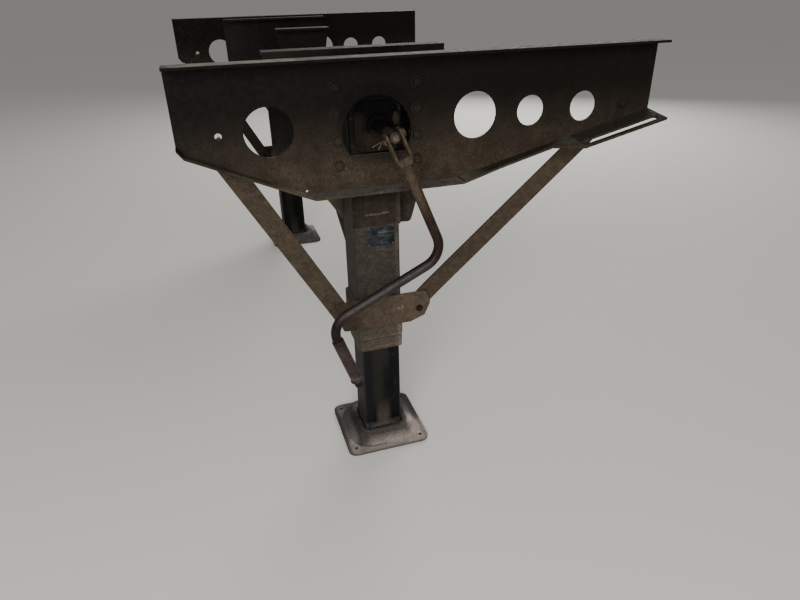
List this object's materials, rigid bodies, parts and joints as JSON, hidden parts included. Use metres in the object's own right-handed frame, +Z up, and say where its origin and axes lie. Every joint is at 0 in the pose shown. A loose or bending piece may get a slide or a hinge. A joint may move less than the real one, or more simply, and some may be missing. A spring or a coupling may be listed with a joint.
{
  "type": "semi trailer landing gear",
  "caption": "Parking stand of a semi trailer: telescoping legs with feet under hanger plates, braces, a cross shaft and a folding hand crank.",
  "frame": {"origin": "on the ground under the near leg's axis, at the middle of the near foot's sole", "axes": "+X along the trailer towards the plates' long ends, +Y from the near (crank) leg to the far leg, +Z up"},
  "size_m": [1.2205, 2.1762, 1.13],
  "materials": {
    "plate_paint": "worn dark paint with brown rust",
    "tube_paint": "worn dark paint, dusty",
    "rusty_steel": "brown rust with dust",
    "greasy_steel": "black grease over steel, rust runs",
    "dusty_steel": "grey dust over worn steel",
    "crank_paint": "dark red-brown paint, worn",
    "grip_paint": "faded red sleeve, worn"
  },
  "bodies": {
    "frame": {"wing_plate_near": "plate_paint", "wing_plate_far": "plate_paint", "inner_hanger_near": "plate_paint", "inner_hanger_far": "plate_paint", "outer_tube_near": "tube_paint", "outer_tube_far": "tube_paint", "head_case_near": "tube_paint", "head_case_far": "tube_paint", "gear_cover_near": "tube_paint", "gear_cover_far": "tube_paint", "collar_near": "rusty_steel", "collar_far": "rusty_steel", "front_brace_near": "rusty_steel", "front_brace_far": "rusty_steel", "rear_brace_near": "rusty_steel", "rear_brace_far": "rusty_steel", "sway_brace_near": "plate_paint", "sway_brace_far": "plate_paint", "centre_bracket": "plate_paint"},
    "near_leg": {"inner_leg_near": "greasy_steel", "nut_guide_near": "greasy_steel", "foot_near": "dusty_steel"},
    "far_leg": {"inner_leg_far": "greasy_steel", "nut_guide_far": "greasy_steel", "foot_far": "dusty_steel"},
    "drive": {"input_shaft": "rusty_steel", "cross_shaft": "rusty_steel", "coupling_near": "rusty_steel", "coupling_far": "rusty_steel"},
    "crank": {"crank_yoke": "crank_paint", "crank_pin": "rusty_steel", "crank_rod": "crank_paint", "crank_grip": "grip_paint"}
  },
  "joints": [
    {"name": "crank_turn", "type": "hinge", "parent": "frame", "child": "drive", "pos_m": [0, 0, 0.973], "axis": [0, 1, 0], "range_deg": [-9720, 15840]},
    {"name": "crank_fold", "type": "hinge", "parent": "drive", "child": "crank", "pos_m": [0, -0.236, 0.973], "axis": [-0.9245, 0, -0.3811], "range_deg": [0, 90]},
    {"name": "near_leg_slide", "type": "slide", "parent": "frame", "child": "near_leg", "axis": [0, 0, 1], "range_m": [-0.1625, 0.2645]},
    {"name": "far_leg_slide", "type": "slide", "parent": "frame", "child": "far_leg", "axis": [0, 0, 1], "range_m": [-0.1625, 0.2645]}
  ],
  "couplings": [
    {"joint": "near_leg_slide", "follows": "crank_turn", "m_per_rad": 0.00095493},
    {"joint": "far_leg_slide", "follows": "crank_turn", "m_per_rad": 0.00095493}
  ]
}
